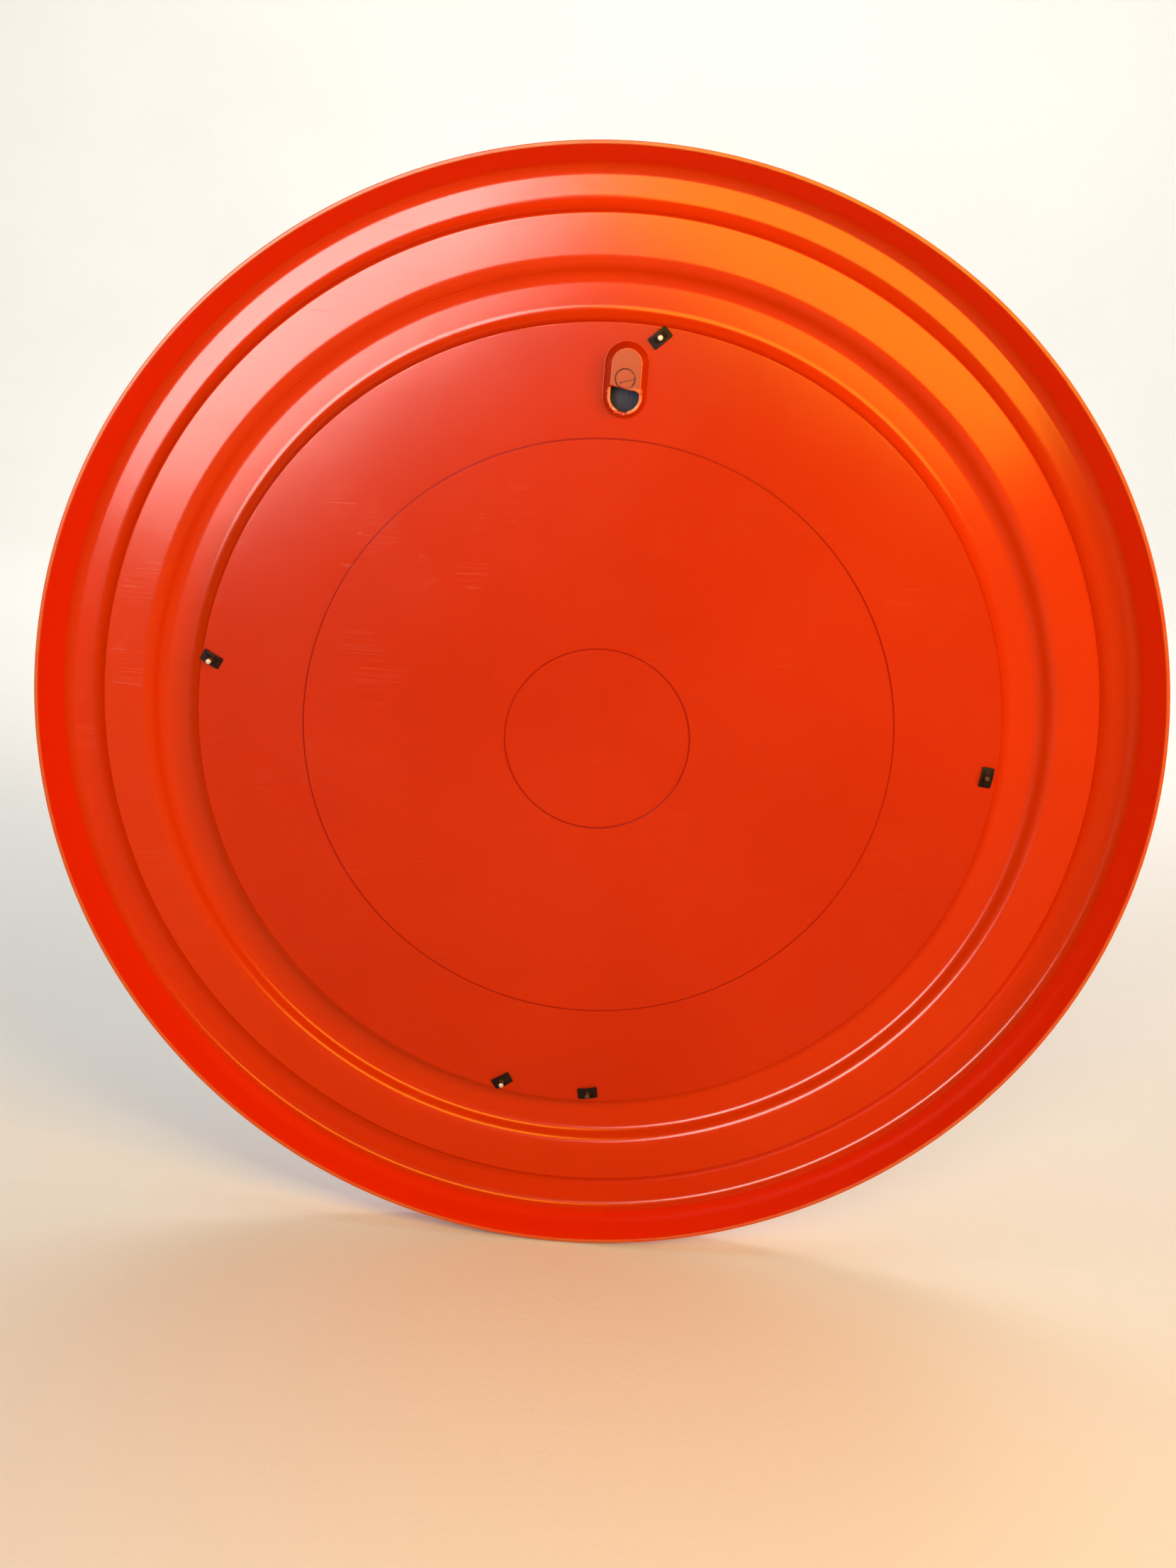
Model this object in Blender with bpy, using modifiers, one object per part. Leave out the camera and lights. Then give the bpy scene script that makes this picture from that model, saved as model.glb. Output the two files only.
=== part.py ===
"""A round wall mirror in a moulded plastic frame, upright as it hangs.

World axes: +Z is up, the mirror faces -Y and the wall is on the +Y side. The origin is the point
where the nail bears on the hanger hood.

Every sub-part is modelled in the disc's own axes and placed by one parent empty. As one faces the
mirror, x is to the right, y is up and z comes out of the glass; z = 0 is the back of the plate, so
what stands out at the back has a negative z. Angles run anticlockwise from the top.
"""

import math

import bmesh
import bpy
from mathutils import Matrix, Vector

# ---------------------------------------------------------------- driving dimensions, in metres
GAP = 0.0003                 # running gap wherever two pieces touch

# Moulded shell
RIM_RADIUS = 0.2500          # outside of the rim lip
RIM_HEIGHT = 0.0152          # the lip stands this far behind the plate
LIP_WIDTH = 0.0016
WALL = 0.0018                # thickness of the moulding
PLATE_RADIUS = 0.18105       # crisp edge of the flat centre plate
CHANNEL_DEPTH = 0.0080       # both round channels, seen from the back
STEP_DEPTH = 0.0020          # flat band between the two channels
INNER_WALL_RUN = 0.0015      # how far each steep wall leans outwards
BAND_INNER_WALL = (0.2002, 0.2038)
BAND_OUTER_WALL = (0.2246, 0.2263)
RIM_WALL_FOOT = 0.2430
PLATE_EDGE_ROUND = 0.0005
PLATE_FOOT_FILLET = 0.0060   # the plate's wall runs into the inner channel
BAND_FOOT_FILLET = 0.0056    # the inner channel runs up to the band
BAND_SHOULDER_ROUND = 0.0064
BAND_EDGE_ROUND = 0.0010
OUTER_CHANNEL_FILLET = 0.0068
RIM_FOOT_FILLET = 0.0048
SMALLEST_FILLET = 0.0003     # left at a corner when the wall's thickness uses up its fillet
FIELD_RADIUS = 0.1332        # outer edge of the slightly raised field
HUB_RADIUS = 0.0417          # inner edge of the raised field
FIELD_RISE = 0.0003

# Hanger hood on the back of the plate
HOOD_CENTRE = 0.1577         # distance from the disc's axis
HOOD_HALF_WIDTH = 0.0090     # at its foot
HOOD_HALF_LENGTH = 0.0157
HOOD_HEIGHT = 0.0075
HOOD_DRAFT = 0.0027          # how much the outline shrinks over the full height
HOOD_WALL = 0.0010
MOUTH_TOP = 0.1545           # the hood's lower edge, where the nail bears
MOUTH_RIM_HEIGHT = 0.0050    # height of the wall round the mouth

# Mirror glass and the trim ring that holds it
GLASS_RADIUS = 0.1720
GLASS_THICKNESS = 0.0030
GLASS_ARRIS = 0.0004
RING_INNER_RADIUS = 0.1650
RING_OUTER_RADIUS = 0.1788
RING_LIP = 0.0014            # thickness of the lip over the glass
RING_CROWN = 0.0006
RING_CROWN_ROUND = 0.0200
RING_INNER_ROUND = 0.0006
RING_OUTER_ROUND = 0.0012
RING_SPLIT_ANGLE = 183.8     # the ring's two ends meet here
RING_SPLIT_WIDTH = 0.0008

# Studs fixed in the trim ring, and the push-on retainers that grip them behind the plate
STUD_CIRCLE = 0.1764
STUD_RADIUS = 0.0012
STUD_SOCKET_DEPTH = 0.0032   # length of stud held in the ring
STUD_END_BEVEL = 0.0003
RETAINER_LENGTH = 0.0092
RETAINER_WIDTH = 0.0054
RETAINER_SHEET = 0.0004
RETAINER_BOW = 0.0007        # rise of its middle above its ends
RETAINER_SLIT = 0.0005

# Place: (angle of the stud, height of its tip behind the plate, turn of its retainer)
FIXINGS = {
    "top": (4.2, 0.0060, -47.0),
    "left": (90.8, 0.0036, 5.0),
    "bottom": (177.0, 0.0054, -7.0),
    "joint": (190.6, 0.0060, -43.5),
    "right": (277.5, 0.0068, -69.5),
}

TURN_STEPS = 64              # facets round a turned piece; a multiple of 4 keeps the true width
ARC_STEP = math.radians(30)  # largest turn of one facet along a fillet
CUT_REACH = 0.0020           # how far a cutter runs past the surface it opens

GLASS_BACK = WALL + GAP
GLASS_FRONT = GLASS_BACK + GLASS_THICKNESS


# ---------------------------------------------------------------- outlines
def left_of(direction):
    return Vector((-direction.y, direction.x))


def offset_line(corners, distance):
    """A line of (radius, z, fillet) corners moved to its left, with mitred corners."""
    points = [Vector(corner[:2]) for corner in corners]
    runs = [(b - a).normalized() for a, b in zip(points, points[1:])]
    moved = []
    for i, (point, corner) in enumerate(zip(points, corners)):
        before = runs[max(i - 1, 0)]
        after = runs[min(i, len(runs) - 1)]
        bisector = left_of(before) + left_of(after)
        shifted = point + bisector * (distance / (1 + before.dot(after)))
        turns_left = before.cross(after) > 0
        inside = max(corner[2] - distance, SMALLEST_FILLET)
        moved.append((shifted.x, shifted.y, inside if turns_left else corner[2] + distance))
    return moved


def rounded_line(corners):
    """Points along a line of (radius, z, fillet) corners, with an arc at each filleted corner."""
    points = [Vector(corners[0][:2])]
    for previous, corner, following in zip(corners, corners[1:], corners[2:]):
        at = Vector(corner[:2])
        fillet = corner[2]
        into = (at - Vector(previous[:2])).normalized()
        out = (Vector(following[:2]) - at).normalized()
        turn = math.atan2(into.cross(out), into.dot(out))
        if fillet == 0:
            points.append(at)
            continue
        start = at - into * fillet * math.tan(abs(turn) / 2)
        centre = start + left_of(into) * math.copysign(fillet, turn)
        steps = math.ceil(abs(turn) / ARC_STEP)
        for i in range(steps + 1):
            spoke = start - centre
            spoke.rotate(Matrix.Rotation(turn * i / steps, 2))
            points.append(centre + spoke)
    points.append(Vector(corners[-1][:2]))
    return points


def pill_outline(half_width, half_length, steps=8):
    """An upright pill shape round the origin, anticlockwise."""
    straight = half_length - half_width
    points = []
    for middle, start in ((straight, 0.0), (-straight, math.pi)):
        for i in range(steps + 1):
            angle = start + math.pi * i / steps
            points.append((half_width * math.cos(angle), middle + half_width * math.sin(angle)))
    return points


# ---------------------------------------------------------------- scene helpers
def clear_scene():
    for thing in list(bpy.data.objects):
        bpy.data.objects.remove(thing, do_unlink=True)


def new_collection(name):
    collection = bpy.data.collections.new(name)
    bpy.context.scene.collection.children.link(collection)
    return collection


def new_material(name, colour, roughness, metallic=0.0):
    material = bpy.data.materials.new(name)
    material.use_nodes = True
    shader = material.node_tree.nodes["Principled BSDF"]
    shader.inputs["Base Color"].default_value = (*colour, 1.0)
    shader.inputs["Roughness"].default_value = roughness
    shader.inputs["Metallic"].default_value = metallic
    return material


def add_object(name, mesh, collection, material=None):
    thing = bpy.data.objects.new(name, mesh)
    collection.objects.link(thing)
    thing.parent = disc_axes
    if material:
        mesh.materials.append(material)
    return thing


def mesh_from(bm, name):
    bmesh.ops.recalc_face_normals(bm, faces=bm.faces)
    mesh = bpy.data.meshes.new(name)
    bm.to_mesh(mesh)
    bm.free()
    return mesh


def turned_piece(name, points, collection, material):
    """A closed profile turned about z. The points run down its outer side, front to back."""
    mesh = bpy.data.meshes.new(name)
    count = len(points)
    closed_off_axis = points[0].x > 0
    edges = [(i, i + 1) for i in range(count - 1)]
    if closed_off_axis:
        edges.append((count - 1, 0))
    mesh.from_pydata([(p.x, 0.0, p.y) for p in points], edges, [])
    piece = add_object(name, mesh, collection, material)
    screw = piece.modifiers.new("turn", "SCREW")
    screw.steps = screw.render_steps = TURN_STEPS
    screw.use_merge_vertices = True
    screw.merge_threshold = 0.00001
    screw.use_smooth_shade = True
    return piece


def drafted_pill(bm, half_width, half_length, z_foot, z_top, shrink):
    """A pill-shaped block round the hood's centre, narrowing evenly from its foot to its top."""
    rings = []
    for z, inset in ((z_foot, 0.0), (z_top, shrink)):
        outline = pill_outline(half_width - inset, half_length - inset)
        rings.append([bm.verts.new((x, HOOD_CENTRE + y, z)) for x, y in outline])
    foot, top = rings
    bm.faces.new(foot)
    bm.faces.new(top)
    for i in range(len(foot)):
        j = (i + 1) % len(foot)
        bm.faces.new((foot[i], foot[j], top[j], top[i]))


def add_block(bm, low, high):
    size = Vector(high) - Vector(low)
    middle = (Vector(high) + Vector(low)) / 2
    matrix = Matrix.Translation(middle) @ Matrix.Diagonal((*size, 1.0))
    bmesh.ops.create_cube(bm, size=1.0, matrix=matrix)


def add_rod(bm, radius, z_low, z_high, centre=(0.0, 0.0), sides=16):
    matrix = Matrix.Translation((*centre, (z_low + z_high) / 2))
    bmesh.ops.create_cone(bm, cap_ends=True, segments=sides, radius1=radius, radius2=radius,
                          depth=z_high - z_low, matrix=matrix)


def cut(piece, cutter, operation="DIFFERENCE"):
    cutter.hide_render = True
    cutter.display_type = "WIRE"
    boolean = piece.modifiers.new(cutter.name, "BOOLEAN")
    boolean.operation = operation
    boolean.solver = "EXACT"
    boolean.object = cutter


def on_circle(radius, angle):
    """The point at an angle in degrees, anticlockwise from the top."""
    turn = math.radians(angle)
    return -radius * math.sin(turn), radius * math.cos(turn)


# ---------------------------------------------------------------- sub-parts
def shell_profile():
    """Closed profile of the moulding: along its front, round the lip and back along its rear."""
    foot_of_plate = PLATE_RADIUS + INNER_WALL_RUN
    rear = [
        (0.0, 0.0, 0.0),
        (PLATE_RADIUS, 0.0, PLATE_EDGE_ROUND),
        (foot_of_plate, CHANNEL_DEPTH, PLATE_FOOT_FILLET),
        (BAND_INNER_WALL[0], CHANNEL_DEPTH, BAND_FOOT_FILLET),
        (BAND_INNER_WALL[1], STEP_DEPTH, BAND_SHOULDER_ROUND),
        (BAND_OUTER_WALL[0], STEP_DEPTH, BAND_EDGE_ROUND),
        (BAND_OUTER_WALL[1], CHANNEL_DEPTH, OUTER_CHANNEL_FILLET),
        (RIM_WALL_FOOT, CHANNEL_DEPTH, RIM_FOOT_FILLET),
        (RIM_RADIUS - LIP_WIDTH, -RIM_HEIGHT, 0.0),
    ]
    front = offset_line(rear, WALL)
    front[-1] = (RIM_RADIUS, -RIM_HEIGHT, 0.0)
    raised_field = [
        (HUB_RADIUS, 0.0, 0.0),
        (HUB_RADIUS + FIELD_RISE, -FIELD_RISE, 0.0),
        (FIELD_RADIUS - FIELD_RISE, -FIELD_RISE, 0.0),
        (FIELD_RADIUS, 0.0, 0.0),
    ]
    rear[1:1] = raised_field
    return rounded_line(front) + rounded_line(rear)[::-1]


def hood_block():
    bm = bmesh.new()
    drafted_pill(bm, HOOD_HALF_WIDTH, HOOD_HALF_LENGTH, WALL / 2, -HOOD_HEIGHT, HOOD_DRAFT)
    return add_object("hood_block", mesh_from(bm, "hood_block"), cutters)


def hood_hollow():
    """The nail pocket, open to the front of the plate, where the glass closes it."""
    bm = bmesh.new()
    drafted_pill(bm, HOOD_HALF_WIDTH - HOOD_WALL, HOOD_HALF_LENGTH - HOOD_WALL,
                 WALL + CUT_REACH, HOOD_WALL - HOOD_HEIGHT, HOOD_DRAFT)
    return add_object("hood_hollow", mesh_from(bm, "hood_hollow"), cutters)


def hood_mouth():
    """Everything of the hood above the mouth's rim and below its lower edge is cut away."""
    bm = bmesh.new()
    reach = 2 * HOOD_HALF_WIDTH
    add_block(bm, (-reach, HOOD_CENTRE - 2 * HOOD_HALF_LENGTH, -2 * HOOD_HEIGHT),
              (reach, MOUTH_TOP, -MOUTH_RIM_HEIGHT))
    return add_object("hood_mouth", mesh_from(bm, "hood_mouth"), cutters)


def stud_holes(name, z_low, z_high):
    """One clearance hole for each stud, as a single cutter."""
    bm = bmesh.new()
    for angle, _, _ in FIXINGS.values():
        add_rod(bm, STUD_RADIUS + GAP, z_low, z_high, on_circle(STUD_CIRCLE, angle))
    return add_object(name, mesh_from(bm, name), cutters)


def make_shell():
    shell = turned_piece("back_shell", shell_profile(), parts, orange_plastic)
    cut(shell, hood_block(), "UNION")
    cut(shell, hood_hollow())
    cut(shell, hood_mouth())
    cut(shell, stud_holes("plate_holes", -WALL, 2 * WALL))
    return shell


def make_glass():
    bm = bmesh.new()
    add_rod(bm, GLASS_RADIUS, GLASS_BACK, GLASS_FRONT, sides=TURN_STEPS)
    glass = add_object("mirror_glass", mesh_from(bm, "mirror_glass"), parts, mirror)
    bevel = glass.modifiers.new("arris", "BEVEL")
    bevel.width = GLASS_ARRIS
    bevel.segments = 1
    bevel.limit_method = "ANGLE"
    return glass


def ring_profile():
    """An angle section: a skirt standing on the plate and a crowned lip over the glass."""
    skirt_inside = GLASS_RADIUS + 2 * GAP
    lip_under = GLASS_FRONT + GAP
    lip_top = lip_under + RING_LIP
    middle = (RING_INNER_RADIUS + RING_OUTER_RADIUS) / 2
    outline = [
        (RING_INNER_RADIUS, lip_under + GAP, 0.0),
        (RING_INNER_RADIUS, lip_top, RING_INNER_ROUND),
        (middle, lip_top + RING_CROWN, RING_CROWN_ROUND),
        (RING_OUTER_RADIUS, lip_top, RING_OUTER_ROUND),
        (RING_OUTER_RADIUS, GLASS_BACK, 0.0),
        (skirt_inside, GLASS_BACK, 0.0),
        (skirt_inside, lip_under, 0.0),
        (RING_INNER_RADIUS + GAP, lip_under, 0.0),
    ]
    return rounded_line(outline)


def ring_split():
    bm = bmesh.new()
    add_block(bm, (-RING_SPLIT_WIDTH / 2, RING_INNER_RADIUS - CUT_REACH, 0.0),
              (RING_SPLIT_WIDTH / 2, RING_OUTER_RADIUS + CUT_REACH, 4 * GLASS_FRONT))
    split = add_object("ring_split", mesh_from(bm, "ring_split"), cutters)
    split.rotation_euler.z = math.radians(RING_SPLIT_ANGLE)
    return split


def make_ring():
    ring = turned_piece("trim_ring", ring_profile(), parts, bright_aluminium)
    cut(ring, stud_holes("ring_sockets", 0.0, GLASS_BACK + STUD_SOCKET_DEPTH + GAP))
    cut(ring, ring_split())
    return ring


def make_stud(place, angle, tip_height):
    name = "stud_" + place
    bm = bmesh.new()
    add_rod(bm, STUD_RADIUS, -tip_height, GLASS_BACK + STUD_SOCKET_DEPTH)
    stud = add_object(name, mesh_from(bm, name), parts, bright_steel)
    stud.location = (*on_circle(STUD_CIRCLE, angle), 0.0)
    bevel = stud.modifiers.new("ends", "BEVEL")
    bevel.width = STUD_END_BEVEL
    bevel.segments = 1
    bevel.limit_method = "ANGLE"
    stud.data.shade_smooth()
    stud.data.set_sharp_from_angle(angle=math.radians(50))
    return stud


def retainer_cutter():
    """The stud's hole and the two slits that leave a tongue on each side of it."""
    bm = bmesh.new()
    deep = -2 * CUT_REACH
    add_rod(bm, STUD_RADIUS + GAP, deep, CUT_REACH)
    cutter = add_object("retainer_hole", mesh_from(bm, "retainer_hole"), cutters)
    bm = bmesh.new()
    slit = RETAINER_SLIT / 2
    add_block(bm, (-slit, -RETAINER_WIDTH / 3, deep), (slit, RETAINER_WIDTH / 3, CUT_REACH))
    slits = add_object("retainer_slit", mesh_from(bm, "retainer_slit"), cutters)
    return cutter, slits


def retainer_mesh():
    """A rectangle of spring sheet, bowed so that only its ends touch the plate."""
    bm = bmesh.new()
    bmesh.ops.create_grid(bm, x_segments=8, y_segments=1, size=0.5)
    for vert in bm.verts:
        along = 2 * vert.co.x
        vert.co.x *= RETAINER_LENGTH
        vert.co.y *= RETAINER_WIDTH
        vert.co.z = -GAP - RETAINER_BOW * (1 - along * along)
    return mesh_from(bm, "retainer")


def make_retainer(place, angle, turn, mesh, hole, slit):
    retainer = add_object("retainer_" + place, mesh, parts)
    retainer.location = (*on_circle(STUD_CIRCLE, angle), 0.0)
    retainer.rotation_euler.z = math.radians(angle + turn)
    sheet = retainer.modifiers.new("sheet", "SOLIDIFY")
    sheet.thickness = RETAINER_SHEET
    sheet.offset = -1.0 if mesh.polygons[0].normal.z > 0 else 1.0
    for tool in (hole, slit):
        own = bpy.data.objects.new(f"{tool.name}_{place}", tool.data)
        cutters.objects.link(own)
        own.parent = disc_axes
        own.location = retainer.location
        own.rotation_euler = retainer.rotation_euler
        cut(retainer, own)
    return retainer


# ---------------------------------------------------------------- assembly
clear_scene()
parts = new_collection("round_wall_mirror")
cutters = new_collection("cutters")

disc_axes = bpy.data.objects.new("disc_axes", None)
parts.objects.link(disc_axes)
disc_axes.location = (0.0, -HOOD_HEIGHT, -MOUTH_TOP)
disc_axes.rotation_euler.x = math.pi / 2

orange_plastic = new_material("orange_plastic", (0.78, 0.075, 0.008), 0.36)
mirror = new_material("mirror", (0.82, 0.84, 0.85), 0.03, 1.0)
bright_aluminium = new_material("bright_aluminium", (0.80, 0.80, 0.79), 0.22, 1.0)
bright_steel = new_material("bright_steel", (0.72, 0.70, 0.66), 0.28, 1.0)
black_spring_steel = new_material("black_spring_steel", (0.022, 0.014, 0.010), 0.45, 0.8)

make_shell()
make_glass()
make_ring()
clip_mesh = retainer_mesh()
clip_mesh.materials.append(black_spring_steel)
clip_hole, clip_slit = retainer_cutter()
for fixing, (stud_angle, stud_tip, clip_turn) in FIXINGS.items():
    make_stud(fixing, stud_angle, stud_tip)
    make_retainer(fixing, stud_angle, clip_turn, clip_mesh, clip_hole, clip_slit)
bpy.data.objects.remove(clip_hole)
bpy.data.objects.remove(clip_slit)
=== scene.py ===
import math
import random

import bmesh
import bpy
from mathutils import Matrix, Quaternion, Vector, noise


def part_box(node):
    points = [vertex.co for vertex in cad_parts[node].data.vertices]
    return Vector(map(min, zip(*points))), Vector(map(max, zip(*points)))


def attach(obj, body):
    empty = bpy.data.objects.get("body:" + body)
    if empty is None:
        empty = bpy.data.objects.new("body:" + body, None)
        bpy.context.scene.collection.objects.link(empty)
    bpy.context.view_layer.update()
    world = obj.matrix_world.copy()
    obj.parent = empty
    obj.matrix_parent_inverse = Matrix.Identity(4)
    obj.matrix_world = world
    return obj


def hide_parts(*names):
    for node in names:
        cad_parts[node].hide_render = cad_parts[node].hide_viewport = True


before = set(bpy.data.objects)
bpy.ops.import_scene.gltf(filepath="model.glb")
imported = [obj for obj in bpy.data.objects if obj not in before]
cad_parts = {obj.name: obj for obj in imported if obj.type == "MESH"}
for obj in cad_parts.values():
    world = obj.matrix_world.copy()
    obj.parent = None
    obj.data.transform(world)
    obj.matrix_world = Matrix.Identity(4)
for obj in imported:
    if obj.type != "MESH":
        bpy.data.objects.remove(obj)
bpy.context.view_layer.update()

# Looks of a round wall mirror in a moulded orange frame, seen from its wall side.
#
# Every piece is made in the disc's own axes and placed by DISC_AXES: as one faces the mirror, x is
# to the right, y is up and z comes out of the glass; z = 0 is the back of the plate. Angles run
# anticlockwise from the top. Sizes are in metres.

# ---------------------------------------------------------------- sizes read from the frame
shell_low, shell_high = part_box("back_shell")
glass_low, glass_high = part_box("mirror_glass")
ring_low, ring_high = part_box("trim_ring")

RIM_RADIUS = (shell_high.x - shell_low.x) / 2
DISC_CENTRE_Z = (shell_high.z + shell_low.z) / 2
RIM_HEIGHT = 0.0152          # the lip stands this far behind the plate
PLATE_Y = shell_high.y - RIM_HEIGHT
DISC_AXES = Matrix.Translation((0.0, PLATE_Y, DISC_CENTRE_Z)) @ Matrix.Rotation(math.pi / 2, 4, "X")

GLASS_RADIUS = (glass_high.x - glass_low.x) / 2
GLASS_BACK = PLATE_Y - glass_high.y
GLASS_FRONT = PLATE_Y - glass_low.y
RING_OUTER_RADIUS = (ring_high.x - ring_low.x) / 2
RING_FRONT = PLATE_Y - ring_low.y

# ---------------------------------------------------------------- sizes of the moulding
LIP_WIDTH = 0.0016
WALL = 0.0018
PLATE_RADIUS = 0.18105
CHANNEL_DEPTH = 0.0080
STEP_DEPTH = 0.0020
INNER_WALL_RUN = 0.0015
BAND_INNER_WALL = (0.2002, 0.2038)
BAND_OUTER_WALL = (0.2246, 0.2263)
RIM_WALL_FOOT = 0.2430
FIELD_RADIUS = 0.1332
HUB_RADIUS = 0.0417
FIELD_RISE = 0.0003
FIELD_EDGE_ROUND = 0.00012
LIP_ROUND = 0.00035
PLATE_EDGE_ROUND = 0.00045
PLATE_FOOT_FILLET = 0.0060
BAND_FOOT_FILLET = 0.0056
BAND_SHOULDER_ROUND = 0.0064
BAND_EDGE_ROUND = 0.0010
OUTER_CHANNEL_FILLET = 0.0068
RIM_FOOT_FILLET = 0.0048

HOOD_CENTRE = 0.1577
HOOD_HALF_WIDTH = 0.0090
HOOD_HALF_LENGTH = 0.0157
HOOD_HEIGHT = 0.0075
HOOD_DRAFT = 0.0027
HOOD_WALL = 0.0010
MOUTH_TOP = 0.1545
MOUTH_RIM_HEIGHT = 0.0050
MOUTH_SLANT = 9.7            # degrees that the hood's lower edge runs off level
CHIP_FROM, CHIP_TO = -0.0014, 0.0020
HOOD_EDGE_ROUND = 0.0005
HOOD_FLARE = 0.0007          # fillet round the hood's foot
EJECTOR_MARK = (0.0003, 0.1584)
EJECTOR_RADIUS = 0.0041
EJECTOR_GROOVE = 0.00018
SCRATCH_FROM, SCRATCH_TO = (0.0021, 0.1567), (-0.0036, 0.1586)   # across the ejector mark

# Slivers of flash on the mouth's rim: (foot, tip, width)
TORN_SLIVERS = (
    ((-0.0066, 0.1514, -0.0050), (-0.0059, 0.1556, -0.0068), 0.0010),
    ((0.0067, 0.1524, -0.0048), (0.0080, 0.1531, -0.0050), 0.0005),
    ((-0.0065, 0.1496, -0.0048), (-0.0075, 0.1502, -0.0052), 0.0005),
    ((0.0030, 0.1450, -0.0046), (0.0039, 0.1440, -0.0052), 0.0006),
    ((0.0050, 0.1465, -0.0046), (0.0059, 0.1459, -0.0052), 0.0005),
    ((0.0012, 0.1444, -0.0040), (0.0013, 0.1428, -0.0042), 0.0007),
)

# ---------------------------------------------------------------- trim ring, studs and retainers
RING_INNER_RADIUS = 0.1650
RING_LIP = 0.0014            # thickness of the lip over the glass
RING_CROWN_ROUND = 0.0200
RING_INNER_ROUND = 0.0006
RING_OUTER_ROUND = 0.0012
RING_UNDER_CHAMFER = 0.0003
SKIRT_GAP = 0.0006           # between the glass's edge and the ring's skirt
LIP_GAP = 0.0003             # between the glass's face and the ring's lip
RING_SPLIT_ANGLE = 183.8
RING_SPLIT_WIDTH = 0.0008
STUD_CIRCLE = 0.1764
STUD_HOLE = 0.0015           # radius of the plate's hole for a stud
RETAINER_LENGTH = 0.0092
RETAINER_WIDTH = 0.0054
RETAINER_BOW = 0.0007        # how far its middle stands above its ends
RETAINER_SHEET = 0.00038
RETAINER_STANDOFF = 0.0003   # of its ends from the plate
TONGUE_HALF_WIDTH = 0.0012
TONGUE_ROOT = 0.0030         # distance from the stud's axis to where a tongue bends
TONGUE_GRIP = 0.00128        # distance from the stud's axis to a tongue's tip
TONGUE_SLIT = 0.00014
TONGUE_LIFT = (0.0004, 0.0007)

# Place of each fixing: (angle of its stud, turn of its retainer away from the rim's direction)
FIXINGS = {
    "top": (4.2, -47.0),
    "left": (90.8, 5.0),
    "bottom": (177.0, -7.0),
    "joint": (190.6, -43.5),
    "right": (277.5, -69.5),
}

VIEW_GAMMA = 0.85            # deepens the shades, as a telephone's camera does
TURN_STEPS = 288
ARC_STEP = math.radians(9)
GUARD = 0.0006               # a ring this close to each end of a flat keeps its shading flat


# ================================================================ outlines
def left_of(direction):
    return Vector((-direction.y, direction.x))


def offset_line(corners, distance):
    """A line of (radius, z, fillet) corners moved to its left, with mitred corners."""
    points = [Vector(corner[:2]) for corner in corners]
    runs = [(b - a).normalized() for a, b in zip(points, points[1:])]
    moved = []
    for i, (point, corner) in enumerate(zip(points, corners)):
        before = runs[max(i - 1, 0)]
        after = runs[min(i, len(runs) - 1)]
        bisector = left_of(before) + left_of(after)
        shifted = point + bisector * (distance / (1 + before.dot(after)))
        turns_left = before.cross(after) > 0
        inside = max(corner[2] - distance, LIP_ROUND)
        moved.append((shifted.x, shifted.y, inside if turns_left else corner[2] + distance))
    return moved


def rounded_line(corners):
    """Points along a line of (radius, z, fillet) corners, with an arc at each filleted corner."""
    points = [Vector(corners[0][:2])]
    for previous, corner, following in zip(corners, corners[1:], corners[2:]):
        at = Vector(corner[:2])
        fillet = corner[2]
        into = (at - Vector(previous[:2])).normalized()
        out = (Vector(following[:2]) - at).normalized()
        turn = math.atan2(into.cross(out), into.dot(out))
        if fillet == 0:
            points.append(at)
            continue
        start = at - into * fillet * math.tan(abs(turn) / 2)
        centre = start + left_of(into) * math.copysign(fillet, turn)
        steps = max(math.ceil(abs(turn) / ARC_STEP), 2)
        for i in range(steps + 1):
            spoke = start - centre
            spoke.rotate(Matrix.Rotation(turn * i / steps, 2))
            points.append(centre + spoke)
    points.append(Vector(corners[-1][:2]))
    return points


def with_guards(points):
    """Adds a point near each end of every long straight run."""
    guarded = [points[0]]
    for a, b in zip(points, points[1:]):
        if (b - a).length > 4 * GUARD:
            step = (b - a).normalized() * GUARD
            guarded += [a + step, b - step]
        guarded.append(b)
    return guarded


def pill_outline(half_width, half_length, steps=24):
    """An upright pill shape round the origin, anticlockwise, with points along its sides."""
    straight = half_length - half_width
    points = []
    for middle, start in ((straight, 0.0), (-straight, math.pi)):
        for i in range(steps + 1):
            angle = start + math.pi * i / steps
            points.append(Vector((half_width * math.cos(angle),
                                  middle + half_width * math.sin(angle))))
        side = points[-1].x
        points += [Vector((side, middle - 2 * middle * j / 12)) for j in range(1, 12)]
    return points


def on_circle(radius, angle):
    """The point at an angle in degrees, anticlockwise from the top."""
    turn = math.radians(angle)
    return Vector((-radius * math.sin(turn), radius * math.cos(turn), 0.0))


# ================================================================ mesh helpers
def add_object(name, mesh, *materials):
    thing = bpy.data.objects.new(name, mesh)
    bpy.context.scene.collection.objects.link(thing)
    thing.matrix_world = DISC_AXES
    for material in materials:
        mesh.materials.append(material)
    return thing


def mesh_from(bm, name):
    mesh = bpy.data.meshes.new(name)
    bm.to_mesh(mesh)
    bm.free()
    return mesh


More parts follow.
